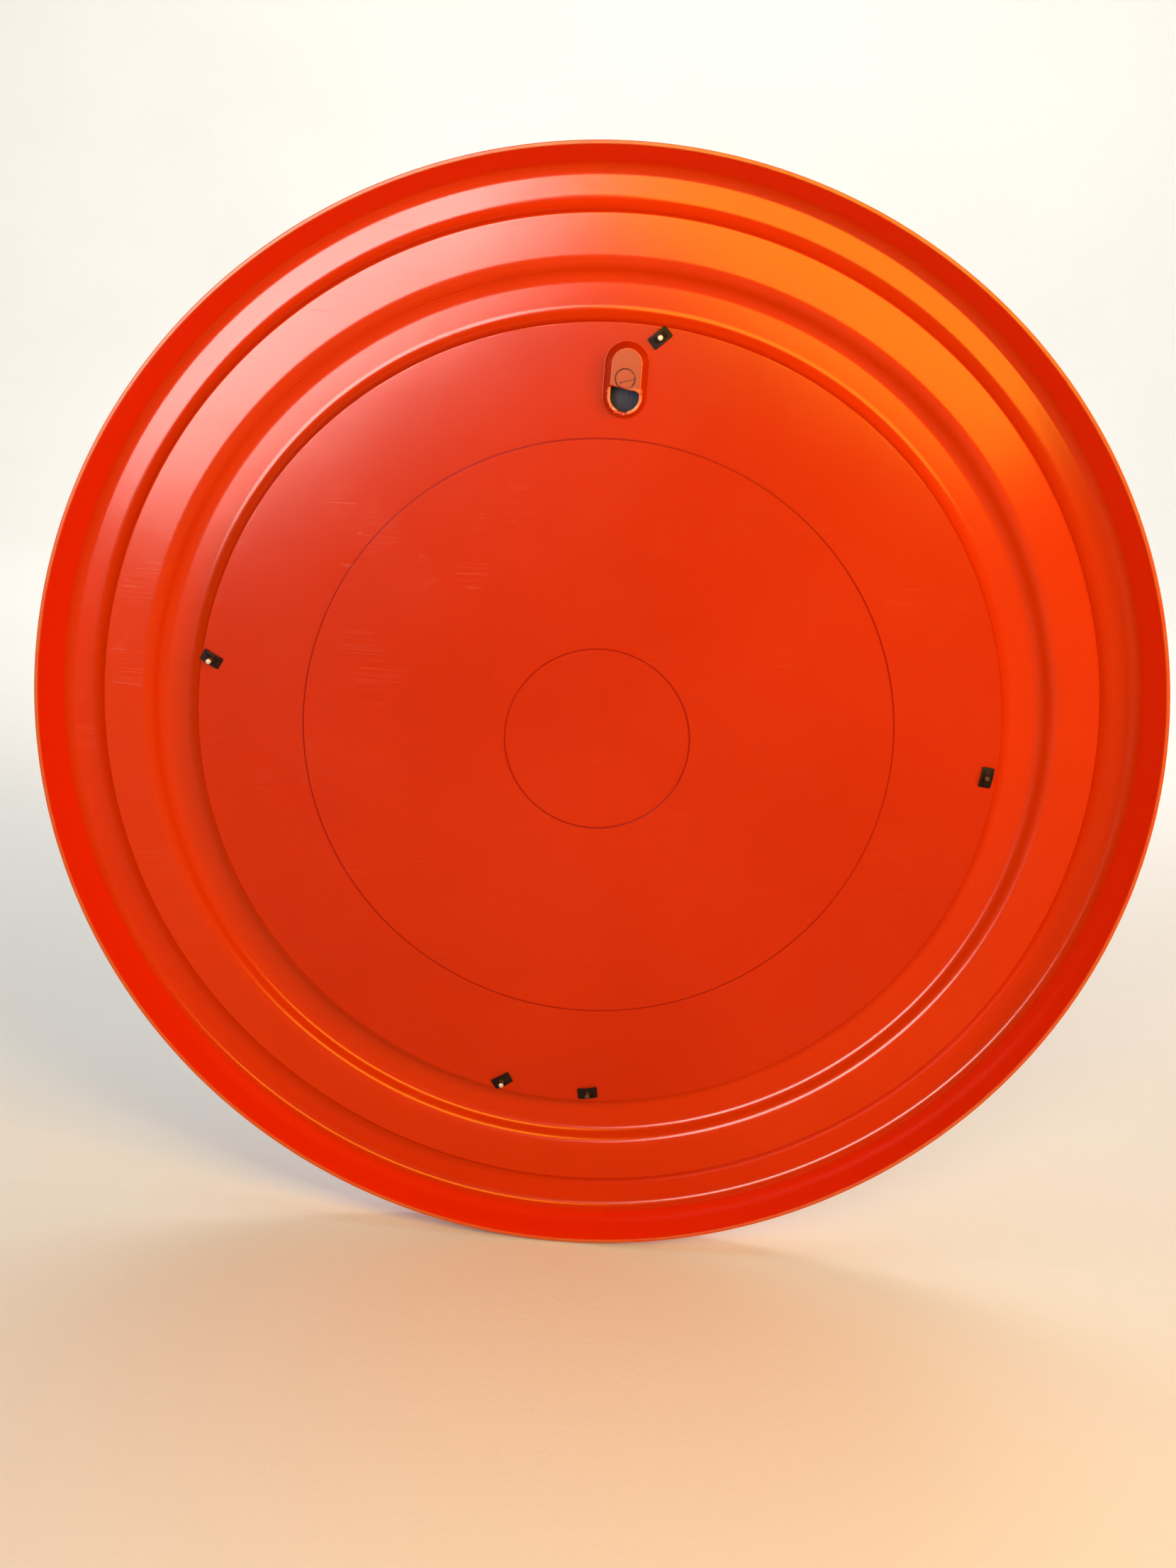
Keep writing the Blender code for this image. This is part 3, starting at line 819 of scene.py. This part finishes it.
# ================================================================ mirror and trim ring
def make_mirror(silver, edge, paint):
    arris = 0.0005
    outline = [
        (0.0, GLASS_FRONT, 0.0),
        (GLASS_RADIUS - arris, GLASS_FRONT, 0.0),
        (GLASS_RADIUS, GLASS_FRONT - arris, 0.0),
        (GLASS_RADIUS, GLASS_BACK + arris, 0.0),
        (GLASS_RADIUS - arris, GLASS_BACK, 0.0),
        (0.0, GLASS_BACK, 0.0),
    ]
    points = with_guards([Vector(corner[:2]) for corner in outline])
    glass = add_object("mirror_plate", turned_mesh("mirror_plate", points), silver, edge, paint)
    for face in glass.data.polygons:
        facing = face.normal.z
        face.material_index = 0 if facing > 0.9 else 2 if facing < -0.9 else 1
    smooth(glass, 20)
    return finish_piece(glass, "mirror", "mirror_glass")


def ring_profile():
    skirt_inside = GLASS_RADIUS + SKIRT_GAP
    lip_under = GLASS_FRONT + LIP_GAP
    lip_top = lip_under + RING_LIP
    middle = (RING_INNER_RADIUS + RING_OUTER_RADIUS) / 2
    outline = [
        (RING_INNER_RADIUS, lip_under + RING_UNDER_CHAMFER, 0.0),
        (RING_INNER_RADIUS, lip_top, RING_INNER_ROUND),
        (middle, RING_FRONT, RING_CROWN_ROUND),
        (RING_OUTER_RADIUS, lip_top, RING_OUTER_ROUND),
        (RING_OUTER_RADIUS, GLASS_BACK, 0.0),
        (skirt_inside, GLASS_BACK, 0.0),
        (skirt_inside, lip_under, 0.0),
        (RING_INNER_RADIUS + RING_UNDER_CHAMFER, lip_under, 0.0),
    ]
    return rounded_line(outline)


def make_ring(metal):
    ring = add_object("trim_ring_bright", turned_mesh("trim_ring_bright", ring_profile()), metal)
    reach = 0.020                # larger than the ring's section both ways
    bm = bmesh.new()
    bmesh.ops.create_cube(bm, size=1.0)
    split = add_object("ring_split", mesh_from(bm, "ring_split"))
    middle = (RING_INNER_RADIUS + RING_OUTER_RADIUS) / 2
    split.matrix_world = (DISC_AXES @ Matrix.Rotation(math.radians(RING_SPLIT_ANGLE), 4, "Z")
                          @ Matrix.Translation((0.0, middle, GLASS_FRONT))
                          @ Matrix.Diagonal((RING_SPLIT_WIDTH, reach, reach, 1.0)))
    combine(ring, split)
    smooth(ring)
    return finish_piece(ring, "ring_metal", "trim_ring")


# ================================================================ studs and retainers
def make_stud(name, place, metal):
    """A round pin with a cut, slightly domed end that has a small burr on one side."""
    low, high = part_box("stud_" + place)
    radius = (high.x - low.x) / 2
    tip = PLATE_Y - high.y
    root = PLATE_Y - low.y
    centre = on_circle(STUD_CIRCLE, FIXINGS[place][0])
    profile = [(0.0, root), (radius - 0.0002, root), (radius, root - 0.0002),
               (radius, tip + 0.0005), (radius - 0.00010, tip + 0.00022),
               (radius - 0.00032, tip + 0.00006), (radius * 0.45, tip), (0.0, tip)]
    mesh = turned_mesh(name, [Vector(point) for point in profile], steps=40)
    wobble = random.Random(place)
    burr_angle = wobble.uniform(0, 2 * math.pi)
    for vert in mesh.vertices:
        x, y, z = vert.co
        if z < tip + 0.0003:
            facing = math.cos(math.atan2(y, x) - burr_angle)
            reach = math.hypot(x, y) / radius
            vert.co.z += 0.00006 * (1 - max(facing, 0.0)) * reach
            vert.co.z = max(vert.co.z, tip)
        vert.co += centre
    stud = add_object(name, mesh, metal)
    smooth(stud, 50)
    return finish_piece(stud, "stud_metal", "stud_" + place)


def retainer_mesh(name, seed):
    """Spring sheet with an H-shaped slit: two tongues rise to grip the stud between them."""
    columns, rows = 48, 28
    clipped = 0.0002             # each corner of the sheet is cut off by this much
    bite = random.Random(seed)
    lift = (bite.uniform(*TONGUE_LIFT), bite.uniform(*TONGUE_LIFT))
    bm = bmesh.new()
    bmesh.ops.create_grid(bm, x_segments=columns, y_segments=rows, size=0.5)
    for vert in bm.verts:
        vert.co.x *= RETAINER_LENGTH
        vert.co.y *= RETAINER_WIDTH
    gone = []
    for face in bm.faces:
        x, y = face.calc_center_median().xy
        in_reach = abs(x) < TONGUE_ROOT
        off_tongue = abs(y) - TONGUE_HALF_WIDTH
        beside = in_reach and 0 < off_tongue < TONGUE_SLIT * 1.6
        gap = in_reach and off_tongue < TONGUE_SLIT and math.hypot(x, y) < TONGUE_GRIP
        corner = abs(x) > RETAINER_LENGTH / 2 - clipped and abs(y) > RETAINER_WIDTH / 2 - clipped
        if beside or gap or corner:
            gone.append(face)
    bmesh.ops.delete(bm, geom=gone, context="FACES")
    for vert in bm.verts:
        x, y = vert.co.xy
        along = 2 * x / RETAINER_LENGTH
        height = RETAINER_BOW * (1 - along * along)
        if abs(x) < TONGUE_ROOT and abs(y) <= TONGUE_HALF_WIDTH + TONGUE_SLIT / 2:
            rise = (TONGUE_ROOT - abs(x)) / (TONGUE_ROOT - TONGUE_GRIP)
            height += lift[x > 0] * min(max(rise, 0.0), 1.0) ** 1.3
        vert.co.z = -RETAINER_STANDOFF - height
    bmesh.ops.recalc_face_normals(bm, faces=bm.faces)
    if bm.faces[0].normal.z > 0:
        bmesh.ops.reverse_faces(bm, faces=bm.faces)
    return mesh_from(bm, name)


def make_retainer(name, place, metal):
    angle, turn = FIXINGS[place]
    retainer = add_object(name, retainer_mesh(name, place), metal)
    retainer.matrix_world = (DISC_AXES @ Matrix.Translation(on_circle(STUD_CIRCLE, angle))
                             @ Matrix.Rotation(math.radians(angle + turn), 4, "Z"))
    sheet = retainer.modifiers.new("sheet", "SOLIDIFY")
    sheet.thickness = RETAINER_SHEET
    sheet.offset = 1.0
    apply_modifiers(retainer)
    round_edges = retainer.modifiers.new("sheared_edges", "BEVEL")
    round_edges.width = 0.00006
    round_edges.segments = 2
    round_edges.limit_method = "ANGLE"
    round_edges.angle_limit = math.radians(60)
    retainer.data.shade_smooth()
    retainer.data.set_sharp_from_angle(angle=math.radians(60))
    return finish_piece(retainer, "spring_steel", "retainer_" + place)


# ================================================================ studio
def sweep_half(name, pale, start_angle):
    """Half of a round sweep: a flat floor that curves up into a pale wall, open at the top."""
    flat, bend, top = 2.2, 1.4, 3.0
    points = [Vector((0.0, 0.0)), Vector((0.9, 0.0)), Vector((flat, 0.0))]
    for i in range(1, 17):
        angle = math.pi / 2 * i / 16
        points.append(Vector((flat + bend * math.sin(angle), bend * (1 - math.cos(angle)))))
    points.append(Vector((flat + bend, top)))
    bm = bmesh.new()
    verts = [bm.verts.new((p.x, 0.0, p.y)) for p in points]
    edges = [bm.edges.new(pair) for pair in zip(verts, verts[1:])]
    bmesh.ops.spin(bm, geom=verts + edges, axis=(0, 0, 1), cent=(0, 0, 0),
                   angle=math.pi, steps=48)
    bmesh.ops.remove_doubles(bm, verts=bm.verts, dist=0.0001)
    bmesh.ops.recalc_face_normals(bm, faces=bm.faces)
    mesh = mesh_from(bm, name)
    mesh.shade_smooth()
    half = add_object(name, mesh, pale)
    half.matrix_world = (Matrix.Translation((0.0, PLATE_Y, shell_low.z - 0.0005))
                         @ Matrix.Rotation(start_angle, 4, "Z"))
    return half


def make_studio(pale):
    """The mirror's side is the backdrop; the other side is kept from hazing the plastic."""
    sweep_half("sweep_mirror_side", pale, math.pi)
    wall_side = sweep_half("sweep_wall_side", pale, 0.0)
    wall_side.visible_glossy = False


def add_light(name, offset, target, size, power, tint, turn=0.0):
    """An area light at an offset from the disc's centre, aimed at another offset."""
    middle = DISC_AXES.translation
    data = bpy.data.lights.new(name, "AREA")
    data.shape = "RECTANGLE"
    data.size, data.size_y = size
    data.energy = power
    data.color = tint
    lamp = bpy.data.objects.new(name, data)
    bpy.context.scene.collection.objects.link(lamp)
    lamp.location = middle + Vector(offset)
    lamp.rotation_mode = "QUATERNION"
    aim = (Vector(target) - Vector(offset)).to_track_quat("-Z", "Y")
    lamp.rotation_quaternion = aim @ Quaternion((0, 0, 1), math.radians(turn))
    return lamp


def make_lights():
    """A cool window and a warm lamp make the sheens; the other lights only fill."""
    world = bpy.data.worlds.new("dim_room")
    world.use_nodes = True
    background = world.node_tree.nodes["Background"]
    background.inputs["Color"].default_value = (0.90, 0.94, 1.0, 1.0)
    background.inputs["Strength"].default_value = 0.008
    bpy.context.scene.world = world
    disc = (0.0, 0.0, 0.0)
    add_light("window", (0.43, 1.20, 0.26), disc, (0.66, 0.40), 7.6, (1.0, 0.99, 0.96), turn=40)
    add_light("lamp", (-0.155, 0.50, 0.255), disc, (0.40, 0.20), 1.45, (1.0, 0.66, 0.05), turn=-32)
    key = add_light("key", (-0.68, 1.00, 0.45), disc, (0.12, 0.12), 2.7, (1.0, 0.82, 0.58))
    key.visible_glossy = False
    ceiling = add_light("ceiling", (0.0, -0.4, 2.2), disc, (2.4, 2.4), 23.0, (0.92, 0.96, 1.0))
    ceiling.visible_glossy = False
    floor_lamp = add_light("floor_lamp", (-1.3, 1.0, 0.7), (-0.6, 0.6, -0.25), (0.4, 0.4), 13.0,
                           (1.0, 0.47, 0.12))
    floor_lamp.visible_glossy = False
    add_light("backdrop_light", (0.0, -1.0, 1.9), (0.0, -3.2, 0.6), (1.6, 0.5), 66.0,
              (1.0, 1.0, 0.96))
    add_light("mirror_side_fill", (-0.6, -1.7, 1.3), disc, (1.0, 1.0), 4.0, (1.0, 0.98, 0.95))


# ================================================================ camera
# The back is seen from above its axis; the disc is turned a little, so its hanger isn't at the top.
CAMERA_OUT = 0.6705          # behind the plate
CAMERA_UP = 0.1771
CAMERA_SIDE = 0.0183
CAMERA_DOWN_TILT = 16.427    # degrees
CAMERA_YAW = 1.918
CAMERA_ROLL = -0.542
DISC_TURN = 4.9
LENS = 35.26


def make_camera():
    data = bpy.data.cameras.new("camera")
    data.sensor_width = 36.0
    data.lens = LENS
    data.clip_start = 0.01
    camera = bpy.data.objects.new("camera", data)
    bpy.context.scene.collection.objects.link(camera)
    behind = Matrix.Rotation(math.pi, 4, "Z")
    stand = Matrix.Translation((CAMERA_SIDE, -CAMERA_OUT, CAMERA_UP))
    aim = (Matrix.Rotation(math.radians(CAMERA_YAW), 4, "Z")
           @ Matrix.Rotation(math.radians(90 - CAMERA_DOWN_TILT), 4, "X")
           @ Matrix.Rotation(math.radians(CAMERA_ROLL), 4, "Z"))
    camera.matrix_world = (Matrix.Translation((0.0, PLATE_Y, DISC_CENTRE_Z))
                           @ Matrix.Rotation(math.radians(DISC_TURN), 4, "Y")
                           @ behind @ stand @ aim)
    bpy.context.scene.camera = camera


# ================================================================ build
make_camera()
make_lights()
make_studio(studio_pale())
make_shell(orange_plastic())
make_mirror(mirror_silver(), glass_edge(), mirror_back_paint())
make_ring(ring_aluminium())
pin_metal = stud_steel()
clip_metal = spring_steel()
for fixing in FIXINGS:
    make_stud("pin_" + fixing, fixing, pin_metal)
    make_retainer("push_on_retainer_" + fixing, fixing, clip_metal)

bpy.context.scene.view_settings.view_transform = "Standard"
bpy.context.scene.view_settings.gamma = VIEW_GAMMA

bpy.context.view_layer.update()
